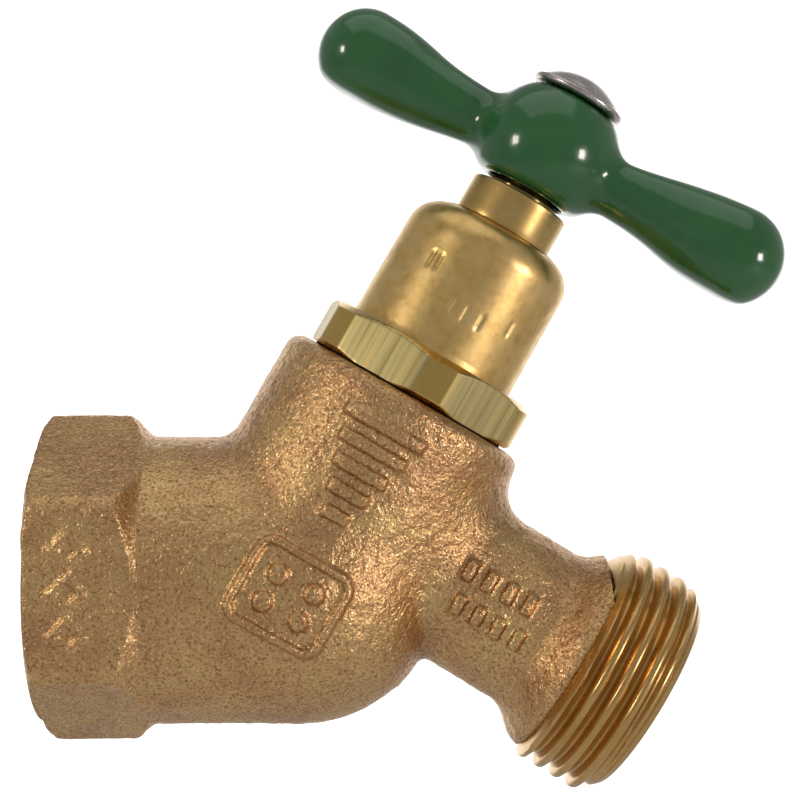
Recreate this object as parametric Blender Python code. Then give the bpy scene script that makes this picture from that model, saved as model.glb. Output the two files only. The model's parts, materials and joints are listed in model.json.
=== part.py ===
"""A 3/4 inch no-kink hose bib: cast body, screwed bonnet, rising stem and tee handle.

The origin is the centre of the inlet's end face. +X runs away from the supply pipe,
+Z is up and Y is across. The bonnet leans 30 degrees from the vertical towards the
outlet, and the spout leaves it at nearly a right angle, 31 degrees below the horizontal.
"""

import math

import bmesh
import bpy
from mathutils import Matrix

MM = 0.001
GAP = 0.3 * MM                    # left between pieces that bear on each other

# Axes
LEAN = math.radians(30.0)         # bonnet axis from the vertical
AXIS_X = 29.0 * MM                # where the bonnet axis crosses the inlet axis
SPOUT_RISE = 9.3 * MM             # spout axis above that point, along the bonnet axis
SPOUT_ANGLE = math.radians(91.3)  # between the two axes

# Inlet: hexagon, chamfer and taper pipe socket
HEX_ACROSS = 32.9 * MM
HEX_CORNER_R = 18.55 * MM
HEX_LENGTH = 10.2 * MM
NECK_R = 16.35 * MM
NECK_START = 13.6 * MM
PIPE_BORE_R = 12.35 * MM
PIPE_DEPTH = 14.5 * MM
PIPE_TAPER = 1 / 32               # radius lost per length on a taper pipe thread
PIPE_MOUTH = 1.0 * MM

# Body above the inlet axis, as distances along the bonnet axis
BOSS_R = 15.0 * MM
BOSS_TOP = 24.4 * MM
BOSS_ROUND = 1.8 * MM
CHAMBER_R = 16.4 * MM
CHAMBER_BORE_R = 11.3 * MM
CHAMBER_FLOOR = 1.0 * MM
DIAPHRAGM_UNDERSIDE = -3.6 * MM
PORT_R = 7.6 * MM                 # hole in the diaphragm for the seat ring
UNDER_SEAT_R = 8.3 * MM
UNDER_SEAT_FLOOR = -11.0 * MM

# Spout, as distances from the bonnet axis
SPOUT_LENGTH = 41.0 * MM
SPOUT_NECK_R = 9.55 * MM
SPOUT_BORE_R = 6.4 * MM
MOUTH_R = 9.4 * MM
FLARE_START = 26.2 * MM
THREAD_START = 30.6 * MM
HOSE_CREST_R = 13.5 * MM
HOSE_ROOT_R = 12.25 * MM
HOSE_PITCH = 25.4 / 11.5 * MM
HOSE_END_BAND = 1.3 * MM

# Bonnet
BONNET_HEX_ACROSS = 24.9 * MM
BONNET_CORNER_R = 13.4 * MM
BONNET_HEX_BOTTOM = 25.0 * MM
BONNET_HEX_TOP = 29.95 * MM
BONNET_TURN = math.radians(8.0)   # one corner of the hexagon, from straight ahead
SHANK_R = 11.0 * MM
SHANK_BOTTOM = 15.9 * MM
SHANK_TOP = 23.6 * MM
POCKET_R = 9.0 * MM               # recess that the washer holder rises into
POCKET_TOP = 18.1 * MM
DOME_R = 10.1 * MM
DOME_TOP = 45.95 * MM
DOME_ROUND = 4.0 * MM
NUT_BOTTOM = 18.9 * MM
NUT_TOP = 30.5 * MM
NUT_ROOM_TOP = 34.6 * MM          # room above the nut for the raised stem thread
PACKING_FLOOR = 37.2 * MM
GLAND_BORE_R = 5.75 * MM

# Stem, packing and gland
LEAD = 2.54 * MM
STEM_CREST_R = 6.15 * MM
STEM_ROOT_R = 5.1 * MM
THREAD_CLEARANCE = 0.35 * MM
SHAFT_R = 4.3 * MM
STEM_BOTTOM = 9.9 * MM
GROOVE_R = 3.75 * MM              # groove for the swivel clip
GROOVE_BOTTOM = 12.3 * MM
GROOVE_TOP = 13.5 * MM
STEM_THREAD_BOTTOM = 19.2 * MM
STEM_THREAD_TOP = 27.4 * MM
GLAND_R = 5.9 * MM
GLAND_BOTTOM = 42.6 * MM
GLAND_TOP = 50.6 * MM
SQUARE_ACROSS = 6.4 * MM
SQUARE_BOTTOM = 52.2 * MM
TAPPED_BOTTOM = 54.2 * MM
STEM_TOP = 60.5 * MM

# Handle and its screw
HANDLE_TURN = math.radians(-10.0)
HUB_R = 8.2 * MM
HUB_CENTRE = 56.7 * MM
HUB_BOTTOM = 51.4 * MM
HUB_TOP = 63.2 * MM
ARM_DROP = 0.2 * MM                # arms' axis below the hub's centre
ARM_BALL_R = 5.55 * MM
ARM_BALL_AT = 24.35 * MM
ARM_NECK_R = 3.4 * MM
ARM_NECK_AT = 9.4 * MM
SCREW_HEAD_R = 5.45 * MM
SCREW_HEAD_HEIGHT = 2.9 * MM
SCREW_SHANK_R = 2.0 * MM
SCREW_BOTTOM = 55.2 * MM
SCREW_SLOT = 1.3 * MM
SCREW_SLOT_TURN = math.radians(25.0)

# Seat and washer
SEAT_TOP = 2.6 * MM
SEAT_BORE_R = 5.4 * MM
WASHER_R = 7.3 * MM
WASHER_THICK = 3.0 * MM
HOLDER_R = 8.5 * MM
HOLDER_TOP = 9.5 * MM
SPIGOT_R = 2.8 * MM
SPIGOT_TOP = 15.2 * MM

ROUND = 48                        # segments round the large turned faces
SMALL_ROUND = 32                  # and round the small ones
INNER_ROUND = 24                  # and round the least ones
OFF_SEAM = math.radians(1.7)      # keeps the vertices of crossing round faces apart


def clear_scene():
    for obj in list(bpy.data.objects):
        bpy.data.objects.remove(obj, do_unlink=True)


def material(name, colour, roughness, metallic):
    mat = bpy.data.materials.new(name)
    mat.use_nodes = True
    shader = mat.node_tree.nodes["Principled BSDF"]
    shader.inputs["Base Color"].default_value = (*colour, 1.0)
    shader.inputs["Roughness"].default_value = roughness
    shader.inputs["Metallic"].default_value = metallic
    return mat


def frame_empty(name, matrix, parent=None):
    """An empty whose Z axis is the axis that its children are turned about."""
    empty = bpy.data.objects.new(name, None)
    bpy.context.scene.collection.objects.link(empty)
    empty.parent = parent
    empty.matrix_local = matrix
    return empty


def link(name, bm, mat, parent, sharp_degrees=35.0):
    """Turn a bmesh into a shaded object under its axis."""
    bmesh.ops.recalc_face_normals(bm, faces=bm.faces)
    mesh = bpy.data.meshes.new(name)
    bm.to_mesh(mesh)
    bm.free()
    mesh.shade_smooth()
    mesh.set_sharp_from_angle(angle=math.radians(sharp_degrees))
    if mat is not None:
        mesh.materials.append(mat)
    obj = bpy.data.objects.new(name, mesh)
    bpy.context.scene.collection.objects.link(obj)
    obj.parent = parent
    return obj


def arc(centre_r, centre_z, radius, start_deg, end_deg, steps):
    """Profile points (r, z) along an arc, angles measured from the outward radius."""
    points = []
    for k in range(steps + 1):
        angle = math.radians(start_deg + (end_deg - start_deg) * k / steps)
        points.append((centre_r + radius * math.cos(angle), centre_z + radius * math.sin(angle)))
    return points


class Thread:
    """A right-hand helical thread between two heights of a turned profile."""

    def __init__(self, z0, z1, root, crest, pitch, phase=0.0):
        self.z0, self.z1 = sorted((z0, z1))
        self.going_up = z1 > z0
        self.root, self.crest = root, crest
        self.pitch = pitch
        self.phase = phase
        self.flanks = ((0.0, 0.0), (0.27, 1.0), (0.5, 1.0), (0.77, 0.0))

    def ends(self):
        first, last = (self.z0, self.z1) if self.going_up else (self.z1, self.z0)
        return (self.root, first), (self.root, last)

    def point(self, i, segments, row):
        """Radius and height of one grid point, faded out at both ends. A whole turn
        later, each row has become the one a pitch above it."""
        if i == segments:
            i, row = 0, row + 4
        step, height = self.flanks[row % 4]
        z = self.z0 + (row // 4 - 2 + step + i / segments + self.phase) * self.pitch
        if z < self.z0 + 0.05 * self.pitch:
            return self.root, self.z0
        if z > self.z1 - 0.05 * self.pitch:
            return self.root, self.z1
        fade = min(1.0, (z - self.z0) / (0.3 * self.pitch), (self.z1 - z) / (0.3 * self.pitch))
        return self.root + (self.crest - self.root) * height * fade, z

    def rows(self):
        return 4 * (int((self.z1 - self.z0) / self.pitch) + 5)


def turned(profile, segments):
    """A solid of revolution about Z. The profile is a loop of (r, z) points and threads,
    open only where both its ends lie on the axis."""
    bm = bmesh.new()
    made = {}

    def vertex(i, r, z):
        key = (i % segments if r > 0 else -1, round(r * 1e8), round(z * 1e8))
        if key not in made:
            angle = 2 * math.pi * i / segments
            made[key] = bm.verts.new((r * math.cos(angle), r * math.sin(angle), z))
        return made[key]

    def face(*corners):
        unique = []
        for corner in corners:
            if corner not in unique:
                unique.append(corner)
        if len(unique) > 2 and not bm.faces.get(unique):
            bm.faces.new(unique)

    points = []
    for item in profile:
        if isinstance(item, Thread):
            start, end = item.ends()
            points += [start, item, end]
        else:
            points.append(item)
    pairs = list(zip(points, points[1:] + points[:1]))
    for a, b in pairs:
        if isinstance(b, Thread):
            for i in range(segments):
                for row in range(b.rows()):
                    face(vertex(i, *b.point(i, segments, row)),
                         vertex(i + 1, *b.point(i + 1, segments, row)),
                         vertex(i + 1, *b.point(i + 1, segments, row + 1)),
                         vertex(i, *b.point(i, segments, row + 1)))
        elif not isinstance(a, Thread) and (a[0] > 0 or b[0] > 0):
            for i in range(segments):
                face(vertex(i, *a), vertex(i + 1, *a), vertex(i + 1, *b), vertex(i, *b))
    return bm


def prism(sides, across, bottom, top, first_corner=0.0):
    """A right prism about Z with a regular outline."""
    bm = bmesh.new()
    corner_r = across / 2 / math.cos(math.pi / sides)
    loops = []
    for z in (bottom, top):
        loop = []
        for k in range(sides):
            angle = first_corner + 2 * math.pi * k / sides
            loop.append(bm.verts.new((corner_r * math.cos(angle), corner_r * math.sin(angle), z)))
        loops.append(loop)
    bm.faces.new(loops[0][::-1])
    bm.faces.new(loops[1])
    for k in range(sides):
        nxt = (k + 1) % sides
        bm.faces.new((loops[0][k], loops[0][nxt], loops[1][nxt], loops[1][k]))
    return bm


def combine(target, operation, tool):
    """Boolean with a hidden guide object."""
    tool.hide_render = True
    tool.display_type = "WIRE"
    modifier = target.modifiers.new(f"{operation.lower()} {tool.name}", "BOOLEAN")
    modifier.operation = operation
    modifier.solver = "EXACT"
    modifier.object = tool


def make_body(axes, bronze):
    """The casting: inlet hexagon and neck, chamber, boss and threaded spout."""
    chamfer = 1.0 * MM
    neck_end = AXIS_X - 3.0 * MM
    body = link("valve_body", turned([
        (0.0, 4.0 * MM),
        (NECK_R - 1.0 * MM, 4.0 * MM),
        (NECK_R, HEX_LENGTH),
        (NECK_R, neck_end),
        (0.0, neck_end),
    ], ROUND), bronze, axes["inlet"])

    hexagon = link("guide_inlet_hexagon", prism(
        6, HEX_ACROSS, 0.0, NECK_START + 1.0 * MM), None, axes["inlet"])
    envelope = link("guide_hexagon_envelope", turned([
        (0.0, 0.0),
        (HEX_CORNER_R - 2.4 * MM, 0.0),
        (HEX_CORNER_R, chamfer + 0.4 * MM),
        (HEX_CORNER_R, HEX_LENGTH),
        (NECK_R - 0.5 * MM, NECK_START),
        (0.0, NECK_START),
    ], ROUND), None, axes["inlet"])
    combine(hexagon, "INTERSECT", envelope)
    combine(body, "UNION", hexagon)

    chamber = link("guide_chamber", turned(
        [(0.0, -CHAMBER_R)] + arc(0.0, 0.0, CHAMBER_R, -81.0, 81.0, 18)
        + [(0.0, CHAMBER_R)], ROUND), None, axes["bonnet"])
    combine(body, "UNION", chamber)

    boss = link("guide_boss", turned(
        [(0.0, -2.0 * MM), (BOSS_R, -2.0 * MM)]
        + arc(BOSS_R - BOSS_ROUND, BOSS_TOP - BOSS_ROUND, BOSS_ROUND, 0.0, 90.0, 4)
        + [(0.0, BOSS_TOP)], ROUND), None, axes["bonnet"])
    boss.rotation_euler.z = 2 * OFF_SEAM
    combine(body, "UNION", boss)

    root_flare = 2.9 * MM
    neck_root = 13.9 * MM
    spout = link("guide_spout", turned([
        (0.0, 5.0 * MM),
        (SPOUT_NECK_R + root_flare, 5.0 * MM),
        (SPOUT_NECK_R + root_flare, neck_root),
        (SPOUT_NECK_R + 0.9 * MM, neck_root + 1.9 * MM),
        (SPOUT_NECK_R, neck_root + 4.4 * MM),
        (SPOUT_NECK_R, FLARE_START - 1.2 * MM),
        (SPOUT_NECK_R + 0.4 * MM, FLARE_START + 0.4 * MM),
        (SPOUT_NECK_R + 1.5 * MM, FLARE_START + 2.4 * MM),
        (HOSE_ROOT_R - 0.1 * MM, THREAD_START - 0.7 * MM),
        Thread(THREAD_START, SPOUT_LENGTH - HOSE_END_BAND, HOSE_ROOT_R, HOSE_CREST_R, HOSE_PITCH),
        (HOSE_ROOT_R, SPOUT_LENGTH - 0.5 * MM),
        (HOSE_ROOT_R - 0.5 * MM, SPOUT_LENGTH),
        (0.0, SPOUT_LENGTH),
    ], ROUND), None, axes["spout"])
    spout.rotation_euler.z = OFF_SEAM
    combine(body, "UNION", spout)
    for k, cutter in enumerate(body_cutters(axes)):
        cutter.rotation_euler.z = (k + 3) * OFF_SEAM
        combine(body, "DIFFERENCE", cutter)


def body_cutters(axes):
    """The passages: pipe socket, way under the seat, port, chamber bore and spout bore."""
    end_r = PIPE_BORE_R - PIPE_DEPTH * PIPE_TAPER
    socket = link("guide_pipe_socket", turned([
        (0.0, -1.0 * MM),
        (PIPE_BORE_R + 1.0 * MM + PIPE_MOUTH, -1.0 * MM),
        (PIPE_BORE_R, PIPE_MOUTH),
        (end_r, PIPE_DEPTH),
        (0.0, PIPE_DEPTH + 3.0 * MM),
    ], ROUND), None, axes["inlet"])
    way_r = 6.3 * MM
    way = link("guide_inlet_way", turned([
        (0.0, 10.0 * MM),
        (way_r, 10.0 * MM),
        (way_r, AXIS_X - 7.0 * MM),
        (0.0, AXIS_X - 4.0 * MM),
    ], SMALL_ROUND), None, axes["inlet"])
    way.location.x = 6.0 * MM
    under = link("guide_under_seat", turned([
        (0.0, UNDER_SEAT_FLOOR),
        (UNDER_SEAT_R - 1.5 * MM, UNDER_SEAT_FLOOR),
        (UNDER_SEAT_R, UNDER_SEAT_FLOOR + 1.5 * MM),
        (UNDER_SEAT_R, DIAPHRAGM_UNDERSIDE),
        (0.0, DIAPHRAGM_UNDERSIDE),
    ], SMALL_ROUND), None, axes["bonnet"])
    port = link("guide_port", turned([
        (0.0, DIAPHRAGM_UNDERSIDE - 1.0 * MM),
        (PORT_R, DIAPHRAGM_UNDERSIDE - 1.0 * MM),
        (PORT_R, CHAMBER_FLOOR + 1.0 * MM),
        (0.0, CHAMBER_FLOOR + 1.0 * MM),
    ], SMALL_ROUND), None, axes["bonnet"])
    bore = link("guide_chamber_bore", turned([
        (0.0, CHAMBER_FLOOR),
        (CHAMBER_BORE_R - 1.0 * MM, CHAMBER_FLOOR),
        (CHAMBER_BORE_R, CHAMBER_FLOOR + 1.0 * MM),
        (CHAMBER_BORE_R, BOSS_TOP + 2.0 * MM),
        (0.0, BOSS_TOP + 2.0 * MM),
    ], ROUND), None, axes["bonnet"])
    outlet = link("guide_spout_bore", turned([
        (0.0, 5.0 * MM),
        (SPOUT_BORE_R, 5.0 * MM),
        (SPOUT_BORE_R, THREAD_START - 2.0 * MM),
        (MOUTH_R, THREAD_START + 1.5 * MM),
        (MOUTH_R, SPOUT_LENGTH + 1.0 * MM),
        (0.0, SPOUT_LENGTH + 1.0 * MM),
    ], ROUND), None, axes["spout"])
    return socket, way, under, port, bore, outlet


def make_seat_ring(axes, brass):
    """Renewable seat with a raised lip, screwed into the diaphragm."""
    flange_r = 8.9 * MM
    screwed_r = PORT_R - GAP
    lip_r = SEAT_BORE_R + 1.3 * MM
    flange_bottom = CHAMBER_FLOOR + 0.15 * MM
    link("seat_ring", turned([
        (SEAT_BORE_R, DIAPHRAGM_UNDERSIDE - 0.4 * MM),
        (screwed_r, DIAPHRAGM_UNDERSIDE - 0.4 * MM),
        (screwed_r, flange_bottom),
        (flange_r, flange_bottom),
        (flange_r, SEAT_TOP - 0.8 * MM),
        (lip_r, SEAT_TOP - 0.6 * MM),
        (lip_r - 0.3 * MM, SEAT_TOP),
        (SEAT_BORE_R, SEAT_TOP),
    ], SMALL_ROUND), brass, axes["bonnet"])


def make_bonnet(axes, brass):
    """Hexagon and dome above, screwed shank below, stem nut thread and gland bore inside."""
    bore_r = STEM_CREST_R + THREAD_CLEARANCE
    nut_crest = STEM_ROOT_R + THREAD_CLEARANCE
    shaft_hole = SHAFT_R + 0.3 * MM
    phase = (STEM_THREAD_BOTTOM - NUT_BOTTOM) / LEAD - HANDLE_TURN / (2 * math.pi) + 0.5
    outer = [
        (POCKET_R, SHANK_BOTTOM),
        (SHANK_R - 0.6 * MM, SHANK_BOTTOM),
        (SHANK_R, SHANK_BOTTOM + 0.7 * MM),
        (SHANK_R, SHANK_TOP),
        (SHANK_R - 0.9 * MM, SHANK_TOP + 0.4 * MM),
        (SHANK_R - 0.9 * MM, BONNET_HEX_BOTTOM + 1.0 * MM),
        (DOME_R, BONNET_HEX_BOTTOM + 1.5 * MM),
    ]
    dome = arc(DOME_R - DOME_ROUND, DOME_TOP - DOME_ROUND, DOME_ROUND, 0.0, 90.0, 6)
    inner = [
        (GLAND_BORE_R, DOME_TOP),
        (GLAND_BORE_R, PACKING_FLOOR),
        (shaft_hole, PACKING_FLOOR),
        (shaft_hole, NUT_ROOM_TOP + 1.0 * MM),
        (bore_r, NUT_ROOM_TOP),
        Thread(NUT_TOP, NUT_BOTTOM, bore_r, nut_crest, LEAD, phase),
        (bore_r, POCKET_TOP + 0.3 * MM),
        (POCKET_R, POCKET_TOP),
    ]
    bonnet = link("bonnet", turned(outer + dome + inner, SMALL_ROUND), brass, axes["bonnet"])
    hexagon = link("guide_bonnet_hexagon", prism(
        6, BONNET_HEX_ACROSS, BONNET_HEX_BOTTOM, BONNET_HEX_TOP,
        BONNET_TURN - math.pi / 2), None, axes["bonnet"])
    edge_r = BONNET_HEX_ACROSS / 2 - 0.3 * MM
    envelope = link("guide_bonnet_envelope", turned([
        (DOME_R - 0.7 * MM, BONNET_HEX_BOTTOM),
        (edge_r, BONNET_HEX_BOTTOM),
        (BONNET_CORNER_R, BONNET_HEX_BOTTOM + 0.7 * MM),
        (BONNET_CORNER_R, BONNET_HEX_TOP - 0.8 * MM),
        (edge_r, BONNET_HEX_TOP),
        (DOME_R - 0.7 * MM, BONNET_HEX_TOP),
    ], ROUND), None, axes["bonnet"])
    combine(hexagon, "INTERSECT", envelope)
    combine(bonnet, "UNION", hexagon)


def make_bonnet_gasket(axes, fibre):
    inner_r = SHANK_R - 0.6 * MM
    thickness = 0.4 * MM
    bottom = BOSS_TOP + 0.1 * MM
    link("bonnet_gasket", turned([
        (inner_r, bottom),
        (BONNET_HEX_ACROSS / 2 - 0.4 * MM, bottom),
        (BONNET_HEX_ACROSS / 2 - 0.4 * MM, bottom + thickness),
        (inner_r, bottom + thickness),
    ], SMALL_ROUND), fibre, axes["bonnet"])


def make_packing(axes, brass, graphite):
    """Support washer and two packing rings under the gland."""
    inner_r = SHAFT_R + 0.12 * MM
    outer_r = GLAND_BORE_R - 0.1 * MM
    chamfer = 0.25 * MM
    between = 0.2 * MM
    bottom = PACKING_FLOOR + between
    pieces = (
        ("packing_washer", 0.8 * MM, brass),
        ("packing_ring_lower", 1.9 * MM, graphite),
        ("packing_ring_upper", 1.9 * MM, graphite),
    )
    for name, height, mat in pieces:
        top = bottom + height
        link(name, turned([
            (inner_r, bottom),
            (outer_r - chamfer, bottom),
            (outer_r, bottom + chamfer),
            (outer_r, top - chamfer),
            (outer_r - chamfer, top),
            (inner_r, top),
        ], INNER_ROUND), mat, axes["bonnet"])
        bottom = top + between


def make_gland(axes, brass):
    """Turned collar above the dome, with a spigot that presses on the packing."""
    inner_r = SHAFT_R + 0.15 * MM
    spigot_r = GLAND_BORE_R - 0.12 * MM
    seating = 0.12 * MM
    link("packing_gland", turned([
        (inner_r, GLAND_BOTTOM),
        (spigot_r, GLAND_BOTTOM),
        (spigot_r, DOME_TOP + seating),
        (GLAND_R, DOME_TOP + seating),
        (GLAND_R, GLAND_TOP - 0.5 * MM),
        (GLAND_R - 0.5 * MM, GLAND_TOP),
        (inner_r, GLAND_TOP),
    ], SMALL_ROUND), brass, axes["bonnet"])


def make_stem(axes, brass):
    """Socket for the swivel, lifting thread, polished shaft and squared top."""
    socket_r = SPIGOT_R + 0.25 * MM
    tapped_r = SCREW_SHANK_R + 0.25 * MM
    stem = link("stem", turned([
        (0.0, SPIGOT_TOP + 1.2 * MM),
        (socket_r, SPIGOT_TOP + 0.4 * MM),
        (socket_r, GROOVE_TOP),
        (GROOVE_R, GROOVE_TOP),
        (GROOVE_R, GROOVE_BOTTOM),
        (socket_r, GROOVE_BOTTOM),
        (socket_r, STEM_BOTTOM),
        (STEM_ROOT_R, STEM_BOTTOM),
        Thread(STEM_THREAD_BOTTOM, STEM_THREAD_TOP, STEM_ROOT_R, STEM_CREST_R, LEAD),
        (STEM_ROOT_R, STEM_THREAD_TOP + 0.4 * MM),
        (SHAFT_R, STEM_THREAD_TOP + 1.0 * MM),
        (SHAFT_R, SQUARE_BOTTOM - 0.3 * MM),
        (SHAFT_R - 0.1 * MM, STEM_TOP - 0.4 * MM),
        (SHAFT_R - 0.5 * MM, STEM_TOP),
        (tapped_r, STEM_TOP),
        (tapped_r, TAPPED_BOTTOM),
        (0.0, TAPPED_BOTTOM - 1.0 * MM),
    ], SMALL_ROUND), brass, axes["handle"])
    outside = 7.0 * MM
    sleeve = link("guide_square_cutter", turned([
        (0.0, SQUARE_BOTTOM),
        (outside, SQUARE_BOTTOM),
        (outside, STEM_TOP + 1.0 * MM),
        (0.0, STEM_TOP + 1.0 * MM),
    ], SMALL_ROUND), None, axes["handle"])
    square = link("guide_stem_square", prism(
        4, SQUARE_ACROSS, SQUARE_BOTTOM - 0.5 * MM, STEM_TOP + 2.0 * MM, math.pi / 4),
        None, axes["handle"])
    combine(sleeve, "DIFFERENCE", square)
    combine(stem, "DIFFERENCE", sleeve)


def arm_profile():
    """Half outline of one arm from inside the hub to its tip, along the arm."""
    points = [(0.0, 3.0 * MM), (5.0 * MM, 3.0 * MM), (5.0 * MM, 6.4 * MM), (4.0 * MM, 7.7 * MM)]
    steps = 7
    for k in range(steps):
        t = k / steps
        ease = t * t * (3 - 2 * t)
        along = ARM_NECK_AT + (ARM_BALL_AT - ARM_NECK_AT) * t
        points.append((ARM_NECK_R + (ARM_BALL_R - ARM_NECK_R) * ease, along))
    points += arc(0.0, ARM_BALL_AT, ARM_BALL_R, 0.0, 75.0, 5)
    points.append((0.0, ARM_BALL_AT + ARM_BALL_R))
    return points


def make_handle(axes, paint):
    """Ball hub with two arms, a square socket and a hole for its screw."""
    def angle_at(z):
        return math.degrees(math.asin((z - HUB_CENTRE) / HUB_R))

    hub = arc(0.0, HUB_CENTRE, HUB_R, angle_at(HUB_BOTTOM), angle_at(HUB_TOP), 10)
    handle = link("handle", turned(
        [(0.0, HUB_BOTTOM)] + hub + [(0.0, HUB_TOP)], SMALL_ROUND), paint, axes["handle"], 50.0)
    for side, turn in (("right", 90.0), ("left", -90.0)):
        arm = link(f"guide_arm_{side}", turned(arm_profile(), INNER_ROUND), None, axes["handle"])
        arm.matrix_local = (Matrix.Translation((0.0, 0.0, HUB_CENTRE - ARM_DROP))
                            @ Matrix.Rotation(math.radians(turn), 4, "Y"))
        combine(handle, "UNION", arm)
    play = 0.15 * MM
    socket = link("guide_handle_socket", prism(
        4, SQUARE_ACROSS + 2 * play, SQUARE_BOTTOM - 0.2 * MM, STEM_TOP + 0.5 * MM, math.pi / 4),
        None, axes["handle"])
    mouth = link("guide_handle_mouth", turned([
        (0.0, HUB_BOTTOM - 1.0 * MM),
        (SHAFT_R + GAP, HUB_BOTTOM - 1.0 * MM),
        (SHAFT_R + GAP, SQUARE_BOTTOM + 0.4 * MM),
        (0.0, SQUARE_BOTTOM + 0.4 * MM),
    ], SMALL_ROUND), None, axes["handle"])
    hole = link("guide_handle_hole", turned([
        (0.0, STEM_TOP - 1.0 * MM),
        (SCREW_SHANK_R + GAP, STEM_TOP - 1.0 * MM),
        (SCREW_SHANK_R + GAP, HUB_TOP + 1.0 * MM),
        (0.0, HUB_TOP + 1.0 * MM),
    ], SMALL_ROUND), None, axes["handle"])
    for cutter in (socket, mouth, hole):
        combine(handle, "DIFFERENCE", cutter)


def make_handle_screw(axes, nickel):
    """Low domed head with a straight slot, and a shank in the stem."""
    under = HUB_TOP + 0.1 * MM
    top = under + SCREW_HEAD_HEIGHT
    rim = under + 1.0 * MM
    dome_r = (SCREW_HEAD_R ** 2 + (top - rim) ** 2) / (2 * (top - rim))
    edge = math.degrees(math.asin(SCREW_HEAD_R / dome_r))
    crown = arc(0.0, top - dome_r, dome_r, 90.0 - edge, 87.0, 5)
    screw = link("handle_screw", turned(
        [(0.0, SCREW_BOTTOM), (SCREW_SHANK_R - 0.4 * MM, SCREW_BOTTOM),
         (SCREW_SHANK_R, SCREW_BOTTOM + 0.6 * MM),
         (SCREW_SHANK_R, under), (SCREW_HEAD_R - 0.3 * MM, under),
         (SCREW_HEAD_R, under + 0.3 * MM)] + crown + [(0.0, top)], SMALL_ROUND),
        nickel, axes["handle"])
    slot = link("guide_screw_slot", prism(
        4, SCREW_SLOT, top - 1.1 * MM, top + 1.0 * MM, math.pi / 4), None, axes["handle"])
    slot.scale.x = 12.0
    slot.rotation_euler.z = SCREW_SLOT_TURN
    combine(screw, "DIFFERENCE", slot)


def make_washer_holder(axes, brass):
    """Cup for the seat washer, hung from the stem by a spigot so that it needn't turn."""
    tapped_r = 1.75 * MM
    cup_floor = SEAT_TOP + GAP + WASHER_THICK
    cup_lip = cup_floor - 1.9 * MM
    link("washer_holder", turned([
        (tapped_r, cup_floor + 0.1 * MM),
        (WASHER_R + 0.2 * MM, cup_floor + 0.1 * MM),
        (WASHER_R + 0.2 * MM, cup_lip),
        (HOLDER_R, cup_lip),
        (HOLDER_R, HOLDER_TOP - 1.2 * MM),
        (HOLDER_R - 1.2 * MM, HOLDER_TOP),
        (SPIGOT_R, HOLDER_TOP),
        (SPIGOT_R, GROOVE_BOTTOM - 0.1 * MM),
        (SPIGOT_R - 0.7 * MM, GROOVE_BOTTOM - 0.1 * MM),
        (SPIGOT_R - 0.7 * MM, GROOVE_TOP + 0.1 * MM),
        (SPIGOT_R, GROOVE_TOP + 0.1 * MM),
        (SPIGOT_R, SPIGOT_TOP - 0.5 * MM),
        (SPIGOT_R - 0.5 * MM, SPIGOT_TOP),
        (0.0, SPIGOT_TOP),
        (0.0, 11.0 * MM),
        (tapped_r, 10.4 * MM),
    ], SMALL_ROUND), brass, axes["washer"])


def make_swivel_clip(axes, steel):
    """Open spring ring that shares the grooves of the spigot and the stem."""
    inner_r = SPIGOT_R - 0.45 * MM
    outer_r = 3.5 * MM
    play = 0.2 * MM
    clip = link("swivel_clip", turned([
        (inner_r, GROOVE_BOTTOM + play),
        (outer_r, GROOVE_BOTTOM + play),
        (outer_r, GROOVE_TOP - play),
        (inner_r, GROOVE_TOP - play),
    ], INNER_ROUND), steel, axes["washer"])
    gap = link("guide_clip_gap", prism(
        4, 1.2 * MM, GROOVE_BOTTOM - 0.3 * MM, GROOVE_TOP + 0.5 * MM, math.pi / 4),
        None, axes["washer"])
    gap.location.x = 3.0 * MM
    gap.scale.x = 2.5
    combine(clip, "DIFFERENCE", gap)


def make_seat_washer(axes, rubber):
    bottom = SEAT_TOP + GAP
    top = bottom + WASHER_THICK
    hole_r = 1.95 * MM
    link("seat_washer", turned([
        (hole_r, bottom),
        (WASHER_R - 0.5 * MM, bottom),
        (WASHER_R, bottom + 0.5 * MM),
        (WASHER_R, top),
        (hole_r, top),
    ], SMALL_ROUND), rubber, axes["washer"])


def make_washer_screw(axes, brass):
    """Round head against the washer, slotted from below, with its shank in the holder."""
    head_top = SEAT_TOP + GAP - 0.1 * MM
    head_bottom = head_top - 1.5 * MM
    screw = link("washer_screw", turned([
        (0.0, head_bottom),
        (2.4 * MM, head_bottom),
        (3.2 * MM, head_bottom + 0.8 * MM),
        (3.2 * MM, head_top),
        (1.5 * MM, head_top),
        (1.5 * MM, 9.4 * MM),
        (1.0 * MM, 10.0 * MM),
        (0.0, 10.0 * MM),
    ], INNER_ROUND), brass, axes["washer"])
    slot = link("guide_washer_screw_slot", prism(
        4, 0.8 * MM, head_bottom - 1.0 * MM, head_bottom + 0.7 * MM, math.pi / 4),
        None, axes["washer"])
    slot.scale.x = 12.0
    combine(screw, "DIFFERENCE", slot)


def make_axes():
    """Empties on the axes. The washer's and the handle's carry what moves."""
    quarter = math.pi / 2
    inlet = frame_empty("inlet_axis", Matrix.Rotation(quarter, 4, "Y"))
    bonnet = frame_empty("bonnet_axis", Matrix.Translation((AXIS_X, 0.0, 0.0))
                         @ Matrix.Rotation(LEAN, 4, "Y"))
    spout = frame_empty("spout_axis", Matrix.Translation((0.0, 0.0, SPOUT_RISE))
                        @ Matrix.Rotation(SPOUT_ANGLE, 4, "Y"), bonnet)
    washer = frame_empty("washer_lift_axis", Matrix.Identity(4), bonnet)
    handle = frame_empty("handle_turn_axis", Matrix.Rotation(HANDLE_TURN, 4, "Z"), washer)
    return {"inlet": inlet, "bonnet": bonnet, "spout": spout, "washer": washer, "handle": handle}


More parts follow.
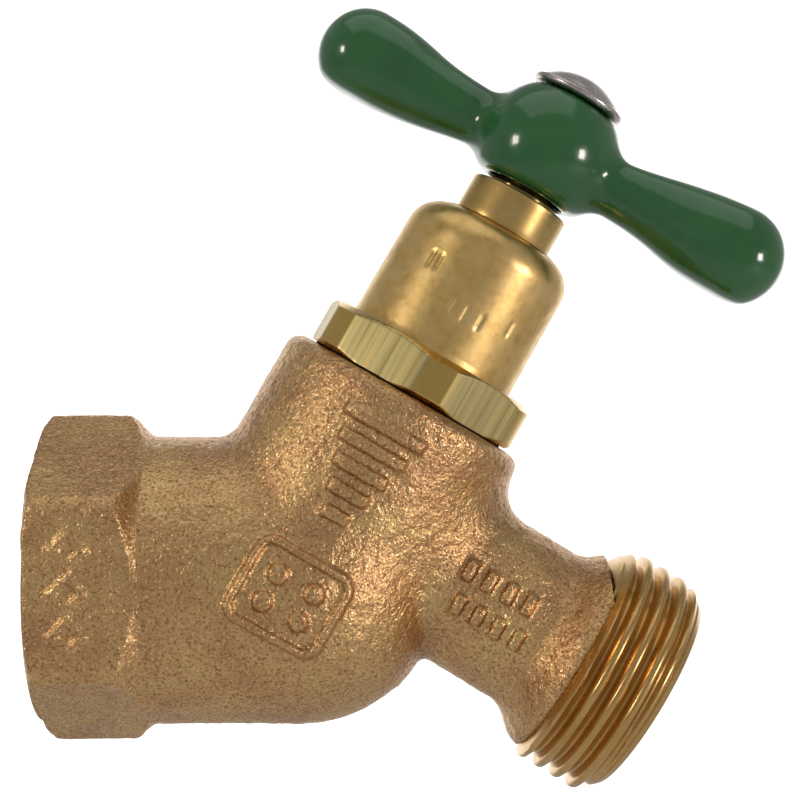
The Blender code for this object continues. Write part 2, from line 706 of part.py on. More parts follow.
def main():
    clear_scene()
    bronze = material("cast_bronze", (0.42, 0.24, 0.12), 0.45, 0.9)
    brass = material("turned_brass", (0.62, 0.42, 0.16), 0.3, 1.0)
    inner_brass = material("inner_brass", (0.55, 0.4, 0.18), 0.4, 1.0)
    paint = material("green_paint", (0.02, 0.12, 0.03), 0.15, 0.0)
    nickel = material("nickel_plate", (0.6, 0.56, 0.52), 0.2, 1.0)
    fibre = material("gasket_fibre", (0.06, 0.04, 0.03), 0.8, 0.0)
    graphite = material("graphite_packing", (0.03, 0.03, 0.035), 0.7, 0.0)
    rubber = material("washer_rubber", (0.015, 0.015, 0.015), 0.75, 0.0)
    steel = material("spring_steel", (0.35, 0.35, 0.36), 0.35, 1.0)
    axes = make_axes()
    make_body(axes, bronze)
    make_seat_ring(axes, inner_brass)
    make_bonnet_gasket(axes, fibre)
    make_bonnet(axes, brass)
    make_packing(axes, inner_brass, graphite)
    make_gland(axes, brass)
    make_washer_holder(axes, inner_brass)
    make_swivel_clip(axes, steel)
    make_seat_washer(axes, rubber)
    make_washer_screw(axes, inner_brass)
    make_stem(axes, inner_brass)
    make_handle(axes, paint)
    make_handle_screw(axes, nickel)


main()
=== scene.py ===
import json
import math

import bmesh
import bpy
import numpy as np
from mathutils import Matrix, Vector


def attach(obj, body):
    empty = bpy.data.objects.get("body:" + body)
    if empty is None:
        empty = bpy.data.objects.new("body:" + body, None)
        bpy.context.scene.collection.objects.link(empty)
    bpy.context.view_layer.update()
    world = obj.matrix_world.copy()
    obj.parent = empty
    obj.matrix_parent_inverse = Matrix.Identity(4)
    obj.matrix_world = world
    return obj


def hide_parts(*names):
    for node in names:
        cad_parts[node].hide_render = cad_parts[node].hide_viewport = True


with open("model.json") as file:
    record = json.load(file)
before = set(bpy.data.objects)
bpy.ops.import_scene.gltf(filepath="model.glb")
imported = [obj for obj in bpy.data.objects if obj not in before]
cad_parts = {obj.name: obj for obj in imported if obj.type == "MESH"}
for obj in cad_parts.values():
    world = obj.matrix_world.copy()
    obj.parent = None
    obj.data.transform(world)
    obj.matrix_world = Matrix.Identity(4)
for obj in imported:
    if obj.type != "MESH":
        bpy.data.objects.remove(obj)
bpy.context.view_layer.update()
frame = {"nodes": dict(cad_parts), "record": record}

# Sizes here are in millimetres in each piece's own axes, and become metres in add_mesh.
MM = 0.001
COS_30 = 0.866025

# Axes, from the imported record
record = frame["record"]
MOUNTS = {m["name"]: m for m in record["mounts"]}
TURN = next(j for j in record["behaviour"]["joints"] if j["name"] == "handle_turn")
CROSSING = Vector(TURN["pos_m"])                  # bonnet axis meets inlet axis
BONNET_AXIS = Vector(TURN["axis"]).normalized()
SPOUT_AXIS = Vector(MOUNTS["hose_outlet_face"]["axis"]).normalized()
ACROSS = Vector((0.0, 1.0, 0.0))

INCH = 25.4

# Inlet, along the row's X
HEX_HALF = 16.45
HEX_CORNER = 18.75
HEX_END = 9.3
HEX_LIFT = 0.25                                   # the casting's hexagon sits a little high
NECK_START = 12.7
NECK_R = 16.35
END_FACE_LEAN = 0.016
SOCKET_R = 13.4
SOCKET_BOTTOM = 14.9
PIPE_PITCH = INCH / 14

# Chamber and boss, along the bonnet axis
CHAMBER_R = 16.4
BOSS_R = 15.0
BOSS_BOTTOM = -4.0
BOSS_TOP = 24.4
BOSS_EDGE = 1.7
BONNET_BORE_R = 10.9

# Spout, along its own axis
SPOUT_RISE = 9.3
SPOUT_LENGTH = 41.0
SPOUT_START = 4.0
SPOUT_NECK_R = 9.55
CAST_END = 31.0                                   # where the cast skin gives way to the thread
OUTLET_R = 6.5
HOSE_ROOT = 12.2
HOSE_CREST = 13.5
HOSE_PITCH = INCH / 11.5

# Bonnet and what stands on it, along the bonnet axis
BONNET_TURN = math.radians(8.0)
GASKET_BOTTOM = 24.42
HEX_BOTTOM = 24.66
HEX_TOP = 29.95
DOME_R = 10.12
DOME_TOP = 45.95
GLAND_TOP = 50.58
STEM_PITCH = INCH / 10

# Handle
HANDLE_TURN = math.radians(-10.0)
HUB_R = 8.2
HUB_CENTRE = 56.7
HUB_TOP = 6.5                                     # above the hub's centre
HUB_BOTTOM = -5.35
ARM_NECK_R = 3.3
ARM_DROP = 0.2
ARM_BALL_R = 5.67
ARM_BALL_AT = 24.35
SCREW_SEAT = 63.25
SCREW_HEAD_R = 5.65

# Raised marks
LOZENGE_HEIGHT = 0.42
MARK_HEIGHT = 0.62

# Stage and camera, in metres
FRONT_GLOW = 0.08
BACK_GLOW = 1.0
GLOW_CENTRE = (0.04, 1.3, -0.02)
GLOW_FULL = 0.74                                  # distance from the centre where it fades
GLOW_GONE = 1.05
WORLD_GLOW = 0.28
CAMERA_AT = (0.0404, -0.215, 0.0206)
CAMERA_LENS = 84.15
FLOOR_X = 0.04
FLOOR_Z = -0.16
FLOOR_R = 0.9
WALL_BEND = 0.4
WALL_TOP = 1.6

# Fineness of the meshes
CAST_STEP = 0.3
HANDLE_STEP = 0.28
SETTLE_STEPS = 3


def axes_at(origin, z_axis):
    """Local axes with Z along z_axis and Y as near the row's Y as it can be."""
    z = z_axis.normalized()
    y = (ACROSS - ACROSS.dot(z) * z).normalized()
    x = y.cross(z)
    m = Matrix((x, y, z)).transposed().to_4x4()
    m.translation = origin
    return m


BONNET = axes_at(CROSSING, BONNET_AXIS)
SPOUT = axes_at(CROSSING + BONNET_AXIS * SPOUT_RISE * MM, SPOUT_AXIS)
INLET = axes_at(Vector((0.0, 0.0, 0.0)), Vector((1.0, 0.0, 0.0)))
HANDLE = BONNET @ Matrix.Rotation(HANDLE_TURN, 4, "Z")


# ---------------------------------------------------------------- mesh tools

def add_mesh(name, verts, faces, matrix, mat, body, replaces=()):
    """A smooth-shaded piece from points in millimetres in the local axes."""
    mesh = bpy.data.meshes.new(name)
    mesh.from_pydata((np.asarray(verts) * MM).tolist(), [], [tuple(f) for f in faces])
    mesh.update()
    mesh.shade_smooth()
    mesh.materials.append(mat)
    obj = bpy.data.objects.new(name, mesh)
    bpy.context.scene.collection.objects.link(obj)
    obj.matrix_world = matrix
    bpy.context.view_layer.update()
    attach(obj, body)
    if replaces:
        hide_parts(*replaces)
    return obj


def sharpen(obj, degrees):
    obj.data.set_sharp_from_angle(angle=math.radians(degrees))
    return obj


def arc(centre_r, centre_z, radius, start_deg, end_deg, steps):
    """Profile points along an arc, angles measured from the outward radius."""
    angles = np.radians(np.linspace(start_deg, end_deg, steps + 1))
    return [(centre_r + radius * math.cos(a), centre_z + radius * math.sin(a)) for a in angles]


def rounded_ridge(u):
    """Height across one pitch, 0 to 1: flat crest and root, with nearly straight flanks."""
    foot, flank, bulge = 0.86, 0.58, 0.9
    x = abs(2 * u - 1.0)
    return min(1.0, max(0.0, (foot - x) / flank)) ** bulge


def turned(profile, segments):
    """Points and faces of a surface of revolution about Z. The profile is a closed loop of
    (r, z) points; a stretch along the axis makes no faces."""
    angle = 2 * math.pi * np.arange(segments) / segments
    rings = [np.stack([r * np.cos(angle), r * np.sin(angle), np.full(segments, z)], axis=1)
             for r, z in profile]
    faces = []
    for k in range(len(profile)):
        nxt = (k + 1) % len(profile)
        if profile[k][0] == 0 and profile[nxt][0] == 0:
            continue
        faces += strip(k * segments, nxt * segments, segments)
    return np.concatenate(rings), faces


def strip(lower, upper, segments):
    """Quads between two rings of points, given the index of each ring's first point."""
    quads = []
    for i in range(segments):
        j = (i + 1) % segments
        quads.append((lower + i, lower + j, upper + j, upper + i))
    return quads


def weld(obj, distance=2e-6):
    """Merge points that lie on each other, and leave one closed surface facing outwards."""
    bm = bmesh.new()
    bm.from_mesh(obj.data)
    bmesh.ops.remove_doubles(bm, verts=bm.verts, dist=distance)
    bmesh.ops.dissolve_degenerate(bm, edges=bm.edges, dist=distance * 0.5)
    bmesh.ops.recalc_face_normals(bm, faces=bm.faces)
    bm.to_mesh(obj.data)
    bm.free()
    obj.data.shade_smooth()
    return obj


def helical(profile_before, thread, profile_after, segments):
    """A turned surface with a thread between two plain stretches. The thread's rows run a
    pitch up per turn, so its grid is joined to itself with a row shift. thread holds its
    start and end along the axis, root and crest radius, pitch, rows per pitch and phase."""
    z0, z1, root, crest, pitch, per_pitch, phase = thread
    fade_length = 0.45 * pitch
    cut_off = 0.04 * pitch
    rows = int((z1 - z0) / pitch * per_pitch) + 3 * per_pitch
    index = {}
    verts = []
    faces = []

    def vertex(i, r, z):
        key = (i % segments, round(r * 1e5), round(z * 1e5))
        if key not in index:
            a = 2 * math.pi * (i % segments) / segments
            index[key] = len(verts)
            verts.append((r * math.cos(a), r * math.sin(a), z))
        return index[key]

    def grid_point(i, row):
        if i == segments:
            i, row = 0, row + per_pitch
        z = z0 + (row / per_pitch - 2.0 + i / segments + phase) * pitch
        if z < z0 + cut_off:
            return root, z0
        if z > z1 - cut_off:
            return root, z1
        fade = min(1.0, (z - z0) / fade_length, (z1 - z) / fade_length)
        return root + (crest - root) * rounded_ridge((row / per_pitch) % 1.0) * fade, z

    def face(*corners):
        unique = list(dict.fromkeys(corners))
        if len(unique) > 2:
            faces.append(tuple(unique))

    for i in range(segments):
        for row in range(rows):
            face(vertex(i, *grid_point(i, row)), vertex(i + 1, *grid_point(i + 1, row)),
                 vertex(i + 1, *grid_point(i + 1, row + 1)), vertex(i, *grid_point(i, row + 1)))
    loop = profile_before + [(root, z0)]
    tail = [(root, z1)] + profile_after
    for chain in (loop, tail, [profile_after[-1], profile_before[0]]):
        for a, b in zip(chain, chain[1:]):
            if a[0] == 0 and b[0] == 0:
                continue
            for i in range(segments):
                face(vertex(i, *a), vertex(i + 1, *a), vertex(i + 1, *b), vertex(i, *b))
    return verts, faces


# ---------------------------------------------------------------- solids as distance fields

def smooth_min(a, b, k):
    """The smaller of two fields, blended over about k where they meet."""
    h = np.clip(0.5 + 0.5 * (b - a) / k, 0.0, 1.0)
    return b * (1 - h) + a * h - k * h * (1 - h)


def smooth_max(a, b, k):
    return -smooth_min(-a, -b, k)


def smoothstep(x, low, high):
    t = np.clip((x - low) / (high - low), 0.0, 1.0)
    return t * t * (3 - 2 * t)


def value_noise(p, size, seed):
    """Smooth noise from -1 to 1 with features of the given size, from a hashed lattice."""
    q = p / size
    base = np.floor(q)
    f = q - base
    f = f * f * (3 - 2 * f)
    base = base.astype(np.int64)
    total = np.zeros(len(p))
    for dx in (0, 1):
        for dy in (0, 1):
            for dz in (0, 1):
                n = ((base[:, 0] + dx) * 374761393 + (base[:, 1] + dy) * 668265263
                     + (base[:, 2] + dz) * 2147483647 + seed * 1274126177)
                n = (n ^ (n >> 13)) * 1103515245
                n = (n ^ (n >> 16)) & 0xFFFF
                weight = ((f[:, 0] if dx else 1 - f[:, 0]) * (f[:, 1] if dy else 1 - f[:, 1])
                          * (f[:, 2] if dz else 1 - f[:, 2]))
                total += weight * (n / 32767.5 - 1.0)
    return total


def surface_net(field, low, high, step):
    """Mesh of the field's zero level: one vertex in each cell that the surface crosses, moved
    on to the surface, and one quad round each grid edge that it crosses."""
    least_slope = 0.2
    counts = np.ceil((np.asarray(high) - low) / step).astype(int) + 1
    grids = [low[k] + step * np.arange(counts[k]) for k in range(3)]
    values = np.empty(counts, dtype=np.float32)
    for i, x in enumerate(grids[0]):
        yy, zz = np.meshgrid(grids[1], grids[2], indexing="ij")
        slab = np.stack([np.full(yy.size, x), yy.ravel(), zz.ravel()], axis=1)
        values[i] = field(slab).reshape(counts[1], counts[2])
    inside = values < 0
    corners = [(a, b, c) for a in (0, 1) for b in (0, 1) for c in (0, 1)]
    full = np.zeros(tuple(counts - 1), dtype=np.int8)
    for a, b, c in corners:
        full += inside[a:counts[0] - 1 + a, b:counts[1] - 1 + b, c:counts[2] - 1 + c]
    active = (full > 0) & (full < 8)
    cells = np.argwhere(active)
    total = np.zeros((len(cells), 3))
    crossings = np.zeros(len(cells))
    for a in corners:
        for axis in range(3):
            if a[axis]:
                continue
            b = tuple(a[k] + (k == axis) for k in range(3))
            va = values[tuple((cells + a).T)]
            vb = values[tuple((cells + b).T)]
            hit = (va < 0) != (vb < 0)
            t = va[hit] / (va[hit] - vb[hit])
            point = np.tile(np.asarray(a, dtype=float), (hit.sum(), 1))
            point[:, axis] += t
            total[hit] += point
            crossings[hit] += 1
    verts = np.asarray(low) + step * (cells + total / crossings[:, None])
    ids = np.full(tuple(counts - 1), -1, dtype=np.int64)
    ids[active] = np.arange(len(cells))
    faces = []
    for axis in range(3):
        e1, e2 = np.eye(3, dtype=int)[(axis + 1) % 3], np.eye(3, dtype=int)[(axis + 2) % 3]
        here = [slice(1, -1)] * 3
        here[axis] = slice(0, -1)
        there = [slice(1, -1)] * 3
        there[axis] = slice(1, None)
        a, b = inside[tuple(here)], inside[tuple(there)]
        for outward, flip in ((a & ~b, False), (~a & b, True)):
            nodes = np.argwhere(outward) + np.asarray([s.start for s in here])
            quad = [ids[tuple((nodes - o).T)] for o in (0 * e1, e1, e1 + e2, e2)]
            quad = np.stack(quad[::-1] if flip else quad, axis=1)
            faces.append(quad)
    faces = np.concatenate(faces)
    for _ in range(SETTLE_STEPS):
        value = field(verts)
        slope = gradient(field, verts)
        steepness = np.maximum((slope ** 2).sum(1), least_slope)
        verts -= slope * (np.clip(value, -step, step) / steepness)[:, None]
    return verts, faces


def gradient(field, points, reach=0.04):
    """Slope of the field at each point."""
    parts = []
    for axis in range(3):
        offset = np.zeros(3)
        offset[axis] = reach
        parts.append((field(points + offset) - field(points - offset)) / (2 * reach))
    return np.stack(parts, axis=1)


def outward(field, points):
    """Unit normals of the field at each point."""
    slope = gradient(field, points)
    return slope / np.maximum(np.linalg.norm(slope, axis=1), 1e-6)[:, None]


def sheltered(field, points, normals, reach):
    """How far each point lies in a recess: 0 in the open, 1 deep in a corner. The casting uses it to
    paint shade into its colour.
    """
    return np.clip(1 - field(points + normals * reach) / reach, 0.0, 1.0)


def local(points, matrix):
    """Row-frame points in millimetres, seen in a piece's own axes."""
    inverse = np.array(matrix.inverted())
    return points @ inverse[:3, :3].T + inverse[:3, 3] / MM


# ---------------------------------------------------------------- the casting

def bar(u, v, cu, cv, half_u, half_v, edge=0.28):
    """Raised bar with soft edges: 1 on top, 0 outside."""
    d = np.maximum(np.abs(u - cu) - half_u, np.abs(v - cv) - half_v)
    return 1 - smoothstep(d, -edge, edge)


def lozenge(u, v, cu, cv, reach, half_width, edge=0.22):
    """Raised outline of a square that stands on its corner."""
    across_side = 0.707
    d = np.abs((np.abs(u - cu) + np.abs(v - cv) - reach) * across_side) - half_width
    return 1 - smoothstep(d, -edge, edge)


def frame_mark(u, v, cu, cv, half_u, half_v, corner, half_width, edge=0.25):
    """Raised outline of a rounded rectangle."""
    qu = np.abs(u - cu) - half_u + corner
    qv = np.abs(v - cv) - half_v + corner
    d = (np.hypot(np.maximum(qu, 0), np.maximum(qv, 0)) + np.minimum(np.maximum(qu, qv), 0) - corner)
    return 1 - smoothstep(np.abs(d) - half_width, -edge, edge)


def foundry_marks(p, t, a):
    """Plain raised marks on the side that faces -Y: they stand for no maker. p is in the row
    frame, t runs along the bonnet axis and a across it."""
    x, z = p[:, 0], p[:, 2]
    height = np.zeros(len(p))
    # inlet flat: three lozenges, one above another
    for level in (4.6, 0.0, -4.6):
        height += LOZENGE_HEIGHT * lozenge(x, z, 5.0, level, 1.7, 0.42, 0.34)
    # chamber: rounded frame with four studs, square with the bonnet axis
    height += MARK_HEIGHT * frame_mark(a, t, -0.2, -0.6, 5.4, 4.7, 1.6, 0.45)
    for du, dv in ((-2.2, -1.7), (2.2, -1.7), (-2.2, 1.7), (2.2, 1.7)):
        height += MARK_HEIGHT * (1 - smoothstep(np.hypot(a + 0.2 - du, t + 0.6 - dv), 0.8, 1.4))
    # boss: a stack of bars, each shorter than the one above
    for k in range(5):
        height += MARK_HEIGHT * bar(a, t, -0.3, 20.2 - 2.7 * k, 4.8 - 0.8 * k, 0.7)
    return height


def spout_marks(d, e):
    """Two rows of short bars: d runs along the spout and e across it."""
    height = np.zeros(len(d))
    for level, start in ((2.3, 15.6), (-1.7, 16.4)):
        for k in range(4):
            height += MARK_HEIGHT * bar(d, e, start + 2.5 * k, level, 0.62, 1.2)
    return height


def inlet_envelope(x):
    """Radius of the turned envelope that trims the hexagon and becomes the neck."""
    chamfer = np.minimum(HEX_CORNER, 17.0 + 1.9 * x)
    return chamfer + (NECK_R - HEX_CORNER) * smoothstep(x, HEX_END, NECK_START)


def spout_radius(d):
    """Radius of the spout, which flares to stand a little proud of the thread's root."""
    flare_start, proud, flare_power = 25.6, 0.35, 1.15
    flare = smoothstep(d, flare_start, CAST_END) ** flare_power
    return SPOUT_NECK_R + (HOSE_ROOT + proud - SPOUT_NECK_R) * flare


def inlet_field(x, y, z):
    """Hexagon on the pipe and the neck behind it."""
    facet_round = 1.3
    zh = z - HEX_LIFT * (1 - smoothstep(x, HEX_END, NECK_START))
    flats = smooth_max(np.abs(0.5 * y + COS_30 * zh), np.abs(0.5 * y - COS_30 * zh), facet_round)
    flats = smooth_max(flats, np.abs(y), facet_round) - HEX_HALF
    leaning = x + END_FACE_LEAN * z
    inlet = smooth_max(flats, np.hypot(y, zh) - inlet_envelope(leaning), 0.35)
    inlet = np.maximum(inlet, x - CROSSING.x / MM)
    return smooth_max(inlet, 0.12 - leaning, 0.3)


def boss_field(around, t):
    """Upright cylinder with a rounded top edge."""
    qr = around - (BOSS_R - BOSS_EDGE)
    qt = t - (BOSS_TOP - BOSS_EDGE)
    corner = np.hypot(np.maximum(qr, 0), np.maximum(qt, 0))
    boss = corner + np.minimum(np.maximum(qr, qt), 0) - BOSS_EDGE
    return np.maximum(boss, BOSS_BOTTOM - t)


def spout_field(about, d):
    """Flared spout up to the thread. The factor makes up for the slope of its flare."""
    spout = (about - spout_radius(d)) * 0.9
    spout = np.maximum(spout, SPOUT_START - d)
    return smooth_max(spout, d - CAST_END, 0.2)


def hollow_field(p, around, t, about, d):
    """Pipe socket, the way up to the seat, the bonnet's bore and the outlet."""
    x, y, z = p[:, 0], p[:, 1], p[:, 2]
    socket = np.maximum(np.hypot(y, z) - SOCKET_R, x - SOCKET_BOTTOM)
    way = np.maximum(np.hypot(y, z + 5.0) - 7.0, np.abs(x - 16.0) - 7.5)
    bore = np.maximum(around - BONNET_BORE_R, np.abs(t - 18.0) - 15.0)
    outlet = np.maximum(about - OUTLET_R, np.abs(d - 20.0) - 14.0)
    return np.minimum(np.minimum(socket, way), np.minimum(bore, outlet))


def raised_marks(p, t, a, side, d, e):
    """Height of all the marks, faded out where the surface turns away from the side."""
    on_spout = smoothstep(d, 14.0, 15.0) * smoothstep(-side, 2.0, 4.0)
    off_spout = 1 - smoothstep(d, 13.0, 14.5)
    facing = smoothstep(-p[:, 1], 6.0, 8.0)
    return foundry_marks(p, t, a) * facing * off_spout + spout_marks(d, e) * on_spout


def casting(p):
    """Distance field of the cast body, in the row frame."""
    q = local(p, BONNET)
    a, b, t = q[:, 0], q[:, 1], q[:, 2]
    around = np.hypot(a, b)
    s = local(p, SPOUT)
    e, side, d = -s[:, 0], s[:, 1], s[:, 2]
    about = np.hypot(s[:, 0], side)
    inlet = inlet_field(p[:, 0], p[:, 1], p[:, 2])
    chamber = np.sqrt(around ** 2 + t ** 2) - CHAMBER_R
    body = smooth_min(np.minimum(inlet, chamber), boss_field(around, t), 1.6)
    # the blend is wide under the spout and tight above it
    body = smooth_min(body, spout_field(about, d), 1.0 + 3.6 * smoothstep(e, -8.0, 7.0))
    close = (p[:, 1] < 0) & (body < 2.0) & (body > -2.0)
    if close.any():
        body[close] -= raised_marks(p[close], t[close], a[close], side[close], d[close], e[close])
    return smooth_max(body, -hollow_field(p, around, t, about, d), 0.5)


def make_casting(mat):
    low = np.array([-0.8, -CHAMBER_R - 0.6, -26.0])
    high = np.array([64.0, CHAMBER_R + 0.6, 31.0])
    verts, faces = surface_net(casting, low, high, CAST_STEP)
    normals = outward(casting, verts)
    # Painted shade: an ambient-occlusion measure of how deep each point lies in a recess, stored to
    # darken the colour there.
    painted_shade = (0.65 * sheltered(casting, verts, normals, 0.5)
               + 0.35 * sheltered(casting, verts, normals, 1.6))
    rough = (0.045 * value_noise(verts, 3.4, 1) + 0.035 * value_noise(verts, 1.3, 2)
             + 0.06 * value_noise(verts, 0.66, 3))
    verts = verts + normals * rough[:, None]
    obj = add_mesh("body_casting", verts, faces, Matrix.Identity(4), mat, "valve",
                   ["valve_body"])
    obj.data.attributes.new("painted_shade", "FLOAT", "POINT").data.foreach_set("value", painted_shade)
    return obj


def make_hose_thread(mat):
    """Machined outlet: thread, end chamfer, rim and mouth."""
    end = SPOUT_LENGTH
    start = CAST_END - 0.3
    before = [(9.0, 28.0), (11.6, 30.0), (HOSE_ROOT, 30.4)]
    after = [(HOSE_ROOT, end - 0.75), (HOSE_ROOT + 0.05, end - 0.7), (HOSE_ROOT - 0.45, end - 0.12),
             (HOSE_ROOT - 0.6, end), (9.55, end), (9.35, end - 0.2), (9.3, end - 8.3),
             (OUTLET_R, end - 11.0), (OUTLET_R, 26.0)]
    thread = (start, end - 0.85, HOSE_ROOT, HOSE_CREST, HOSE_PITCH, 12, 0.1)
    verts, faces = helical(before, thread, after, 128)
    obj = add_mesh("hose_thread", verts, faces, SPOUT, mat, "valve", ["valve_body"])
    return sharpen(weld(obj), 40)


def make_inlet_socket(mat):
    """Machined end face and taper thread of the pipe socket."""
    before = [(14.2, 15.2), (14.2, 0.5), (15.9, 0.45), (16.15, 0.2), (16.05, 0.0), (13.6, 0.0)]
    after = [(12.2, 14.6), (12.2, 15.2)]
    thread = (1.2, 14.2, 13.0, 12.05, PIPE_PITCH, 8, 0.0)
    verts, faces = helical(before, thread, after, 112)
    obj = add_mesh("inlet_socket", verts, faces, INLET, mat, "valve", ["valve_body"])
    return sharpen(weld(obj), 40)


# ---------------------------------------------------------------- bonnet, gland and gasket

def make_dome(mat):
    """Turned dome with its flat top ring, and a few plain punch marks round it."""
    foot, round_r, taper, rows, segments = 30.4, 3.7, 0.12, 60, 360
    wall = DOME_TOP - round_r - foot
    profile = [(6.5, 29.6), (DOME_R + 0.03, 29.6), (DOME_R + 0.03, foot)]
    profile += [(DOME_R - taper * k / rows, foot + wall * k / rows) for k in range(1, rows + 1)]
    profile += arc(DOME_R - taper - round_r, DOME_TOP - round_r, round_r, 3.0, 84.0, 20)
    profile += [(6.9, DOME_TOP + 0.03), (6.0, DOME_TOP + 0.03), (5.75, DOME_TOP - 0.25),
                (5.75, 37.2), (4.6, 37.2), (4.6, 35.6), (6.5, 34.6)]
    verts, faces = turned(profile, segments)
    radius = np.hypot(verts[:, 0], verts[:, 1])
    angle = np.arctan2(verts[:, 1], verts[:, 0])
    outer = (radius > 9.0) & (verts[:, 2] > 30.6)
    punch_half, punch_r, punch_depth = 0.75, 0.24, 0.13
    dent = np.zeros(len(verts))
    for at_deg, z in ((-122.0, 38.9), (-116.0, 38.9), (-95.0, 35.3), (-84.0, 35.3),
                      (-73.0, 35.3), (-52.0, 36.4)):
        along = (angle - math.radians(at_deg)) * DOME_R
        across = np.maximum(np.abs(verts[:, 2] - z) - punch_half, 0.0)
        distance = np.hypot(along, across)
        dent += np.where(outer, np.exp(-(distance / punch_r) ** 2) * punch_depth, 0.0)
    scale = 1 - dent / np.maximum(radius, 1.0)
    verts[:, 0] *= scale
    verts[:, 1] *= scale
    obj = add_mesh("bonnet_dome", verts, faces, BONNET, mat, "valve", ["bonnet"])
    return sharpen(weld(obj), 50)


def make_bonnet_hexagon(mat):
    """Hexagon with drawn flats, turned corners and chamfers above and below."""
    half, corner, chamfer, blend, segments = 12.45, 13.4, 1.1, 0.07, 720
    height = HEX_TOP - HEX_BOTTOM
    angle = 2 * np.pi * np.arange(segments) / segments
    from_corner = (angle - (BONNET_TURN - math.pi / 2) + math.pi / 6) % (math.pi / 3) - math.pi / 6
    from_flat = math.pi / 6 - np.abs(from_corner)
    flat_r = half / np.cos(from_flat)
    levels = np.concatenate([np.linspace(0, chamfer, 12),
                             np.linspace(chamfer, height - chamfer, 10)[1:-1],
                             np.linspace(height - chamfer, height, 12)])
    rows = []
    flat = []
    for level in levels:
        turned_r = min(corner, 12.75 + 1.5 * level, 12.25 + 1.65 * (height - level))
        # a small round where the chamfer or the turned corner meets the flat
        r = -np.logaddexp(-flat_r / blend, -turned_r / blend) * blend
        rows.append((r, HEX_BOTTOM + level))
        flat.append(1 - smoothstep(flat_r - r, 0.02, 0.14))
    inner = np.full(segments, 10.0)
    loops = [(inner, HEX_BOTTOM)] + rows + [(inner, HEX_TOP)]
    flat = np.concatenate([flat[0]] + flat + [0 * flat[0]])
    verts = np.concatenate([np.stack([r * np.cos(angle), r * np.sin(angle), np.full(segments, z)], 1)
                            for r, z in loops])
    faces = []
    for k in range(len(loops)):
        faces += strip(k * segments, (k + 1) % len(loops) * segments, segments)
    obj = add_mesh("bonnet_hexagon", verts, faces, BONNET, mat, "valve", ["bonnet"])
    obj.data.attributes.new("flat", "FLOAT", "POINT").data.foreach_set("value", flat)
    return sharpen(obj, 28)


def make_bonnet_shank(mat):
    """Screwed shank in the boss, with the recess that the washer holder rises into."""
    profile = [(9.0, 15.9), (10.4, 15.9), (10.8, 16.5), (10.8, 23.6), (10.1, 24.0), (10.1, 29.5),
               (6.6, 29.5), (6.6, 18.4), (9.0, 18.1)]
    verts, faces = turned(profile, 96)
    obj = add_mesh("bonnet_shank", verts, faces, BONNET, mat, "valve", ["bonnet"])
    return sharpen(weld(obj), 40)


def make_gland(mat):
    """Collar that stands on the dome and reaches down to the packing."""
    profile = [(4.45, 42.6), (5.6, 42.6), (5.6, 46.05), (5.86, 46.08), (5.9, 46.3)]
    profile += [(5.92 - 0.03 * k / 8, 46.3 + 3.9 * k / 8) for k in range(1, 9)]
    profile += arc(5.59, 50.2, 0.3, 0.0, 84.0, 5)
    profile += [(5.3, GLAND_TOP - 0.03), (4.7, GLAND_TOP), (4.5, GLAND_TOP - 0.18)]
    verts, faces = turned(profile, 160)
    obj = add_mesh("gland_collar", verts, faces, BONNET, mat, "valve",
                   ["packing_gland"])
    return sharpen(weld(obj), 40)


def make_gasket(mat):
    """Fibre ring between the boss and the hexagon, with its outer edges rounded."""
    profile = [(10.45, GASKET_BOTTOM), (12.0, GASKET_BOTTOM), (12.1, 24.48), (12.1, 24.6),
               (12.0, 24.65), (10.45, 24.65)]
    verts, faces = turned(profile, 160)
    obj = add_mesh("gasket_ring", verts, faces, BONNET, mat, "valve",
                   ["bonnet_gasket"])
    return sharpen(weld(obj), 40)


# ---------------------------------------------------------------- stem, handle and screw

def make_stem(mat):
    """Stem with its swivel socket, lifting thread, polished shaft and a thinner top with the
    screw's hole, which is inside the handle."""
    before = [(0.0, 16.4), (3.05, 15.6), (3.05, 13.5), (3.75, 13.5), (3.75, 12.3), (3.05, 12.3),
              (3.05, 9.9), (5.1, 9.9)]
    after = [(5.1, 27.8), (4.3, 28.4), (4.3, 50.9), (4.22, 51.1), (3.2, 51.3), (3.2, 60.3),
             (2.9, 60.5), (2.25, 60.5), (2.25, 54.2), (0.0, 53.2)]
    thread = (19.2, 27.4, 5.1, 6.15, STEM_PITCH, 8, 0.0)
    verts, faces = helical(before, thread, after, 96)
    obj = add_mesh("stem_shaft", verts, faces, HANDLE, mat, "spindle", ["stem"])
    return sharpen(weld(obj), 40)


def handle_field(q):
    """Distance field of the handle in its own axes: arms along X, stem along Z. The arms
    bend slightly in their middle, one up and one down, and end in balls."""
    a, b, t = q[:, 0], q[:, 1], q[:, 2] - HUB_CENTRE
    hub = np.sqrt(a ** 2 + b ** 2 + t ** 2) - HUB_R
    along = np.abs(a)
    middle = np.exp(-((along - 15.0) / 5.0) ** 2)
    bend = np.where(a < 0, -0.26 * middle - 0.16 * smoothstep(along, 17.0, 24.0), 0.28 * middle)
    about = np.hypot(b, t + ARM_DROP - bend)
    grow = smoothstep(along, 6.5, ARM_BALL_AT)
    arm_r = ARM_NECK_R - 0.2 * middle + (ARM_BALL_R - ARM_NECK_R) * grow
    arm = (about - arm_r) * 0.97
    ball = np.sqrt((along - ARM_BALL_AT) ** 2 + about ** 2) - ARM_BALL_R
    arm = np.where(along < ARM_BALL_AT, arm, ball)
    body = smooth_min(hub, arm, 1.9)
    body = smooth_max(body, t - HUB_TOP, 0.9)
    body = smooth_max(body, HUB_BOTTOM - t, 1.0)
    socket = np.maximum(np.hypot(a, b) - 4.75, t + 3.0)
    hole = np.hypot(a, b) - 2.4
    return smooth_max(body, -np.minimum(socket, hole), 0.3)


